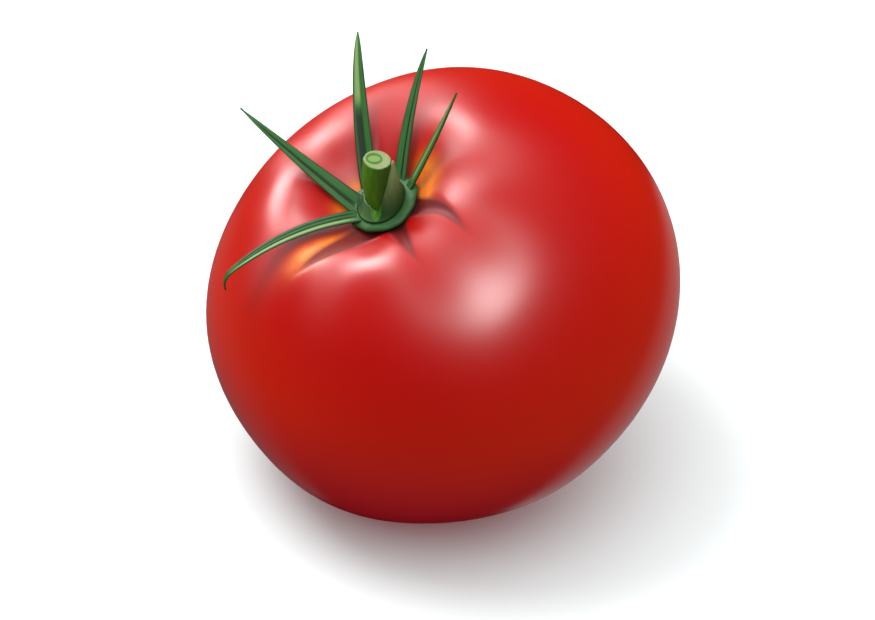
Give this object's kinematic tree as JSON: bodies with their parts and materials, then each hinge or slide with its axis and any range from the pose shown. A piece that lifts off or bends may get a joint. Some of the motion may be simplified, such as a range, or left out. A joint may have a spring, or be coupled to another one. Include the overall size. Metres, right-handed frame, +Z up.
{
  "type": "tomato",
  "caption": "Ripe round tomato resting tilted on a small flat spot, with a pointed green calyx and a short cut stem in the hollow at its top.",
  "frame": {"origin": "on the surface that the tomato rests on, straight below the centre of the fruit, inside the flat spot", "axes": "+Z up, +X to the right and -Y towards a viewer who has the lowest side of the leaning calyx at the front left"},
  "size_m": [0.0747, 0.0754, 0.0697],
  "materials": {
    "fruit_skin": "smooth waxy tomato skin, glossy red",
    "calyx_disc_skin": "matt green plant skin",
    "stem_skin": "satin green stem, pale where it is cut",
    "collar_skin": "satin olive green, pale at its upper edge",
    "sepal_leaf": "matt green leaf with a dark crease and pale ribs"
  },
  "bodies": {
    "root": {"fruit": "fruit_skin", "calyx_disc": "calyx_disc_skin", "stem": "stem_skin", "stem_collar": "collar_skin", "sepal_front_left": "sepal_leaf", "sepal_left": "sepal_leaf", "sepal_back": "sepal_leaf", "sepal_back_right": "sepal_leaf", "sepal_right": "sepal_leaf"}
  },
  "joints": []
}
